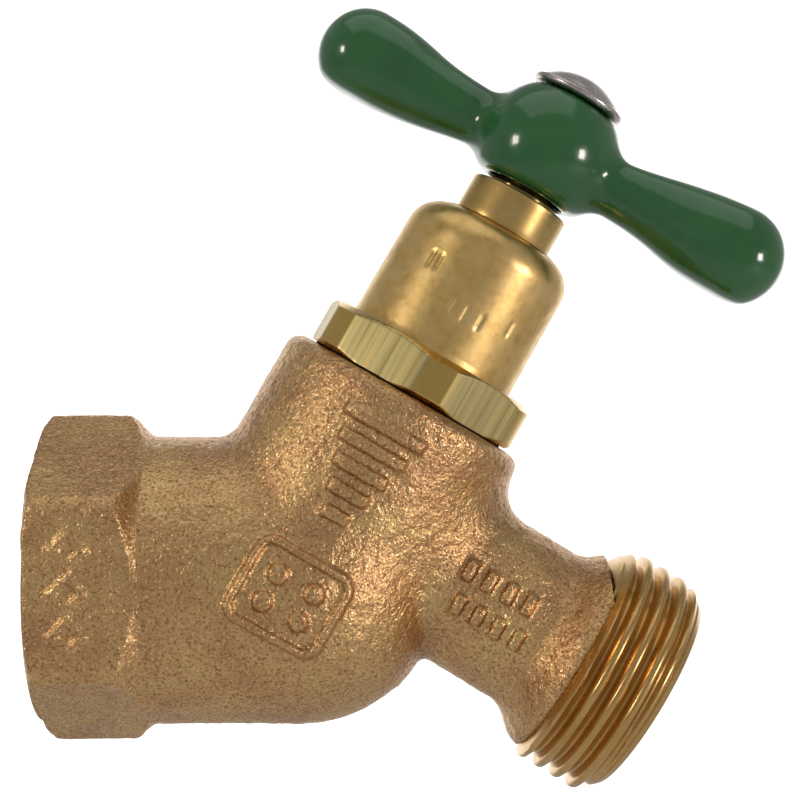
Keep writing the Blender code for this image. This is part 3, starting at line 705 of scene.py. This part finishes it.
def make_handle(mat):
    low = np.array([-31.0, -9.2, HUB_CENTRE - 7.2])
    high = np.array([31.0, 9.2, HUB_CENTRE + 8.0])
    verts, faces = surface_net(handle_field, low, high, HANDLE_STEP)
    uneven = 0.05 * value_noise(verts, 7.0, 5) + 0.02 * value_noise(verts, 3.0, 6)
    verts = verts + outward(handle_field, verts) * uneven[:, None]
    return add_mesh("handle_casting", verts, faces, HANDLE, mat, "spindle",
                    ["handle"])


def make_screw(mat):
    """Low domed head with a rounded rim, and its shank. The driver's slot isn't drawn."""
    crown_r, crown_height = 7.2, 3.0
    top = SCREW_SEAT + crown_height
    profile = [(0.0, 55.2), (1.6, 55.2), (2.0, 55.8), (2.0, SCREW_SEAT),
               (SCREW_HEAD_R - 0.35, SCREW_SEAT)]
    profile += arc(SCREW_HEAD_R - 0.45, SCREW_SEAT + 0.5, 0.45, -60.0, 40.0, 8)
    edge = math.degrees(math.acos((SCREW_HEAD_R - 0.15) / crown_r))
    crown = [(r, z) for r, z in arc(0.0, top - crown_r, crown_r, edge, 88.0, 26)
             if z > SCREW_SEAT + 0.85]
    profile += crown + [(0.0, top)]
    verts, faces = turned(profile, 192)
    obj = weld(add_mesh("screw_head", verts, faces, HANDLE, mat, "spindle",
                        ["handle_screw"]))
    return sharpen(obj, 50)


# ---------------------------------------------------------------- materials

class Nodes:
    """A material's node tree, with short ways to add what the materials here use."""

    def __init__(self, name, metallic, roughness, specular=0.5):
        self.mat = bpy.data.materials.new(name)
        self.mat.use_nodes = True
        self.tree = self.mat.node_tree
        self.shader = self.tree.nodes["Principled BSDF"]
        self.shader.inputs["Metallic"].default_value = metallic
        self.shader.inputs["Roughness"].default_value = roughness
        self.shader.inputs["Specular IOR Level"].default_value = specular
        self.coords = self.tree.nodes.new("ShaderNodeTexCoord").outputs["Object"]

    def link(self, source, target):
        self.tree.links.new(source, target)

    def stretched(self, scale):
        node = self.tree.nodes.new("ShaderNodeMapping")
        node.inputs["Scale"].default_value = scale
        self.link(self.coords, node.inputs["Vector"])
        return node.outputs["Vector"]

    def attribute(self, name):
        node = self.tree.nodes.new("ShaderNodeAttribute")
        node.attribute_name = name
        return node.outputs["Fac"]

    def noise(self, size_mm, detail, rough, vector=None):
        node = self.tree.nodes.new("ShaderNodeTexNoise")
        node.inputs["Scale"].default_value = 1.0 / (size_mm * MM)
        node.inputs["Detail"].default_value = detail
        node.inputs["Roughness"].default_value = rough
        self.link(vector or self.coords, node.inputs["Vector"])
        return node.outputs["Fac"]

    def ramp(self, fac, stops):
        """Colours blended from one stop to the next."""
        node = self.tree.nodes.new("ShaderNodeValToRGB")
        elements = node.color_ramp.elements
        while len(elements) < len(stops):
            elements.new(0.5)
        for element, (at, colour) in zip(elements, stops):
            element.position = at
            element.color = (*colour, 1.0)
        self.link(fac, node.inputs["Fac"])
        return node.outputs["Color"]

    def span(self, value, low, high, out_low, out_high):
        """The value moved from one range to another, and kept inside it."""
        node = self.tree.nodes.new("ShaderNodeMapRange")
        for key, number in (("From Min", low), ("From Max", high), ("To Min", out_low),
                            ("To Max", out_high)):
            node.inputs[key].default_value = number
        self.link(value, node.inputs["Value"])
        return node.outputs["Result"]

    def math(self, operation, a, b):
        node = self.tree.nodes.new("ShaderNodeMath")
        node.operation = operation
        for socket, value in zip(node.inputs, (a, b)):
            if isinstance(value, (int, float)):
                socket.default_value = value
            else:
                self.link(value, socket)
        return node.outputs["Value"]

    def mix(self, fac, a, b):
        """Colour a where fac is 0 and b where it is 1. Each is a link or three numbers."""
        node = self.tree.nodes.new("ShaderNodeMix")
        node.data_type = "RGBA"
        # a mix node's first input is its factor, and 6, 7 and output 2 are its colours
        self.link(fac, node.inputs[0])
        for index, value in ((6, a), (7, b)):
            if isinstance(value, tuple):
                node.inputs[index].default_value = (*value, 1.0)
            else:
                self.link(value, node.inputs[index])
        return node.outputs[2]

    def bump(self, height, distance_mm, under=None):
        node = self.tree.nodes.new("ShaderNodeBump")
        node.inputs["Distance"].default_value = distance_mm * MM
        node.inputs["Strength"].default_value = 1.0
        self.link(height, node.inputs["Height"])
        if under is not None:
            self.link(under, node.inputs["Normal"])
        return node.outputs["Normal"]

    def finish(self, colour, roughness, normal):
        self.link(colour, self.shader.inputs["Base Color"])
        self.link(roughness, self.shader.inputs["Roughness"])
        self.link(normal, self.shader.inputs["Normal"])
        return self.mat


def cast_bronze():
    """Sand-cast bronze: fine grain, redder and yellower patches, painted glints on the brightest
    grain and painted shade that darkens the recesses to brown.
    """
    n = Nodes("cast_bronze_look", 1.0, 0.3)
    patches = n.noise(8.0, 4.0, 0.62)
    tone = n.ramp(patches, [(0.30, (0.58, 0.32, 0.15)), (0.48, (0.70, 0.415, 0.185)),
                            (0.68, (0.78, 0.51, 0.215))])
    grain = n.noise(0.33, 2.0, 0.6)
    tone = n.mix(n.span(grain, 0.32, 0.50, 0.75, 0.0), tone, (0.24, 0.11, 0.05))
    # Painted highlights: the brightest specks of grain are coloured pale gold as glints.
    painted_glints = n.span(grain, 0.60, 0.70, 0.0, 0.7)
    tone = n.mix(painted_glints, tone, (0.95, 0.70, 0.40))
    # Painted shade: the colour darkens to a dark brown in the recesses and round the raised marks.
    recess = n.span(n.attribute("painted_shade"), 0.12, 0.6, 0.0, 0.8)
    tone = n.mix(recess, tone, (0.15, 0.07, 0.035))
    rough = n.span(grain, 0.35, 0.65, 0.44, 0.22)
    coarse = n.bump(n.noise(1.0, 3.0, 0.6), 0.16)
    fine = n.bump(grain, 0.13, coarse)
    return n.finish(tone, rough, fine)


def machined_brass(name, base, rough, line_mm=0.09, line_depth=0.006):
    """Turned metal: fine lines round the axis, faint stains, slightly uneven gloss."""
    n = Nodes(name, 1.0, rough)
    lines = n.noise(1.0, 2.0, 0.6, n.stretched((0.05, 0.05, 1.0 / line_mm)))
    stains = n.noise(3.5, 3.0, 0.6)
    dark = tuple(c * k for c, k in zip(base, (0.80, 0.74, 0.62)))
    tone = n.mix(n.span(stains, 0.35, 0.7, 0.0, 0.75), base, dark)
    gloss = n.span(n.math("ADD", lines, stains), 0.6, 1.4, rough - 0.07, rough + 0.1)
    return n.finish(tone, gloss, n.bump(lines, line_depth))


def satin_dome():
    """Satin yellow brass with a slight blotch and fine turning lines."""
    base = (0.78, 0.52, 0.19)
    n = Nodes("satin_brass_look", 1.0, 0.33)
    stains = n.noise(2.6, 4.0, 0.62)
    tone = n.ramp(stains, [(0.30, (0.62, 0.39, 0.13)), (0.48, base), (0.70, (0.84, 0.59, 0.25))])
    specks = n.span(n.noise(0.5, 3.0, 0.7), 0.64, 0.74, 0.0, 0.45)
    tone = n.mix(specks, tone, (0.42, 0.26, 0.09))
    lines = n.noise(1.0, 2.0, 0.6, n.stretched((0.05, 0.05, 11.0)))
    rough = n.span(n.noise(1.2, 2.0, 0.5), 0.3, 0.7, 0.29, 0.40)
    soft = n.bump(n.noise(0.8, 2.0, 0.6), 0.012)
    return n.finish(tone, rough, n.bump(lines, 0.004, soft))


def drawn_hexagon():
    """Drawn bar stock: dull greenish streaks along the axis on the flats, and bright gold
    where the corners and chamfers were turned."""
    n = Nodes("drawn_brass_look", 1.0, 0.34)
    streaks = n.noise(1.0, 3.0, 0.65, n.stretched((1.7, 1.7, 0.03)))
    drawn = n.ramp(streaks, [(0.30, (0.36, 0.26, 0.088)), (0.44, (0.49, 0.39, 0.165)),
                             (0.56, (0.57, 0.47, 0.22)), (0.70, (0.80, 0.56, 0.18))])
    flat = n.attribute("flat")
    tone = n.mix(flat, (0.66, 0.44, 0.13), drawn)
    rough = n.math("MULTIPLY", n.span(streaks, 0.3, 0.7, 1.25, 0.8),
                   n.span(flat, 0.0, 1.0, 0.17, 0.36))
    return n.finish(tone, rough, n.bump(streaks, 0.012))


def green_paint():
    """Thick gloss enamel over a casting, with a slow ripple and faint orange peel."""
    n = Nodes("green_enamel_look", 0.0, 0.16, 0.5)
    tone = n.ramp(n.noise(6.0, 3.0, 0.5), [(0.3, (0.016, 0.104, 0.023)),
                                           (0.7, (0.022, 0.140, 0.033))])
    ripple = n.bump(n.noise(2.2, 1.5, 0.5), 0.02)
    peel = n.bump(n.noise(0.55, 2.0, 0.5), 0.004, ripple)
    rough = n.span(n.noise(1.5, 2.0, 0.5), 0.3, 0.7, 0.12, 0.22)
    n.shader.inputs["Coat Weight"].default_value = 0.5
    n.shader.inputs["Coat Roughness"].default_value = 0.06
    return n.finish(tone, rough, peel)


def nickel():
    """Plated steel, slightly mottled, with fine scratches."""
    n = Nodes("nickel_plate_look", 1.0, 0.22)
    tone = n.ramp(n.noise(1.6, 3.0, 0.6), [(0.3, (0.50, 0.45, 0.43)), (0.7, (0.68, 0.62, 0.60))])
    scratches = n.noise(1.0, 2.0, 0.6, n.stretched((9.0, 0.6, 2.0)))
    rough = n.span(n.noise(0.7, 3.0, 0.6), 0.3, 0.7, 0.16, 0.34)
    return n.finish(tone, rough, n.bump(scratches, 0.01))


def dull(name, dark, light, size_mm, rough, depth_mm):
    """Matte soft stuff: fibre, graphite or rubber."""
    n = Nodes(name, 0.0, rough, 0.3)
    fac = n.noise(size_mm, 4.0, 0.6)
    tone = n.ramp(fac, [(0.35, dark), (0.65, light)])
    return n.finish(tone, n.span(fac, 0.3, 0.7, rough - 0.1, rough + 0.1), n.bump(fac, depth_mm))


# ---------------------------------------------------------------- stage, light and camera

def area_light(name, place, aim, size, power, colour):
    data = bpy.data.lights.new(name, "AREA")
    data.shape = "RECTANGLE"
    data.size, data.size_y = size
    data.energy = power
    data.color = colour
    obj = bpy.data.objects.new(name, data)
    bpy.context.scene.collection.objects.link(obj)
    obj.location = place
    obj.rotation_euler = (Vector(aim) - Vector(place)).to_track_quat("-Z", "Y").to_euler()
    return obj


def make_stage():
    """A pale floor that curves up into walls all round. The wall behind glows white."""
    mat = bpy.data.materials.new("stage_paper")
    mat.use_nodes = True
    tree = mat.node_tree
    shader = tree.nodes["Principled BSDF"]
    shader.inputs["Base Color"].default_value = (0.6, 0.6, 0.6, 1.0)
    shader.inputs["Roughness"].default_value = 0.9
    shader.inputs["Emission Color"].default_value = (1.0, 1.0, 1.0, 1.0)
    coords = tree.nodes.new("ShaderNodeTexCoord")
    distance = tree.nodes.new("ShaderNodeVectorMath")
    distance.operation = "DISTANCE"
    distance.inputs[1].default_value = GLOW_CENTRE
    glow = tree.nodes.new("ShaderNodeMapRange")
    glow.interpolation_type = "SMOOTHSTEP"
    for key, number in (("From Min", GLOW_FULL), ("From Max", GLOW_GONE),
                        ("To Min", BACK_GLOW), ("To Max", FRONT_GLOW)):
        glow.inputs[key].default_value = number
    tree.links.new(coords.outputs["Object"], distance.inputs[0])
    tree.links.new(distance.outputs["Value"], glow.inputs["Value"])
    tree.links.new(glow.outputs["Result"], shader.inputs["Emission Strength"])
    curve = [(FLOOR_R + WALL_BEND * math.sin(a), WALL_BEND - WALL_BEND * math.cos(a))
             for a in np.linspace(0.1, math.pi / 2, 12)]
    profile = [(0.0, 0.0), (FLOOR_R, 0.0)] + curve + [(FLOOR_R + WALL_BEND, WALL_TOP)]
    segments = 64
    verts = []
    faces = []
    for r, z in profile:
        for i in range(segments):
            a = 2 * math.pi * i / segments
            verts.append((r * math.cos(a) + FLOOR_X, r * math.sin(a), z + FLOOR_Z))
    for k in range(len(profile) - 1):
        faces += strip(k * segments, (k + 1) * segments, segments)
    mesh = bpy.data.meshes.new("stage_floor")
    mesh.from_pydata(verts, [], faces)
    mesh.shade_smooth()
    mesh.materials.append(mat)
    obj = bpy.data.objects.new("stage_floor", mesh)
    bpy.context.scene.collection.objects.link(obj)


def make_lights():
    """Two small lights at the front, whose spots show in the paint, and a large one above."""
    middle = (0.04, 0.0, 0.015)
    small = (0.09, 0.11)
    area_light("left_light", (-0.42, -0.30, 0.18), middle, small, 0.50, (1.0, 0.94, 0.84))
    area_light("right_light", (0.46, -0.30, -0.02), middle, small, 0.62, (1.0, 0.92, 0.90))
    area_light("top_light", (0.05, -0.10, 0.75), middle, (0.9, 0.7), 1.0, (1.0, 1.0, 1.0))


def make_world():
    world = bpy.data.worlds.new("soft_room")
    bpy.context.scene.world = world
    world.use_nodes = True
    background = world.node_tree.nodes["Background"]
    background.inputs["Color"].default_value = (1.0, 1.0, 1.0, 1.0)
    background.inputs["Strength"].default_value = WORLD_GLOW


def make_camera():
    data = bpy.data.cameras.new("camera")
    data.sensor_width = 36.0
    data.lens = CAMERA_LENS
    data.clip_start = 0.01
    obj = bpy.data.objects.new("camera", data)
    bpy.context.scene.collection.objects.link(obj)
    obj.location = CAMERA_AT
    obj.rotation_euler = (math.pi / 2, 0.0, 0.0)
    bpy.context.scene.camera = obj


def main():
    scene = bpy.context.scene
    scene.view_settings.view_transform = "Standard"
    make_camera()
    make_world()
    make_stage()
    make_lights()
    cast = cast_bronze()
    turned_metal = machined_brass("machined_thread_look", (0.68, 0.43, 0.17), 0.24, 0.12, 0.004)
    inner = machined_brass("inner_brass_look", (0.66, 0.48, 0.22), 0.36)
    collar = machined_brass("collar_brass_look", (0.66, 0.45, 0.17), 0.30)
    polished = machined_brass("polished_stem_look", (0.66, 0.45, 0.20), 0.14, 0.1, 0.002)
    steel = machined_brass("spring_steel_look", (0.45, 0.45, 0.46), 0.3)
    fibre = dull("fibre_look", (0.03, 0.02, 0.015), (0.08, 0.055, 0.04), 0.5, 0.8, 0.03)
    graphite = dull("graphite_look", (0.015, 0.015, 0.017), (0.05, 0.05, 0.055), 0.4, 0.6, 0.03)
    rubber = dull("rubber_look", (0.01, 0.01, 0.01), (0.025, 0.025, 0.025), 0.8, 0.7, 0.01)
    make_casting(cast)
    make_hose_thread(turned_metal)
    make_inlet_socket(turned_metal)
    make_dome(satin_dome())
    make_bonnet_hexagon(drawn_hexagon())
    make_bonnet_shank(inner)
    make_gland(collar)
    make_gasket(fibre)
    make_stem(polished)
    make_handle(green_paint())
    make_screw(nickel())
    kept = {"seat_ring": inner, "packing_washer": inner, "packing_ring_lower": graphite,
            "packing_ring_upper": graphite, "washer_holder": inner, "swivel_clip": steel,
            "seat_washer": rubber, "washer_screw": inner}
    for node, mat in kept.items():
        for material_slot in frame["nodes"][node].material_slots:
            material_slot.material = mat


main()
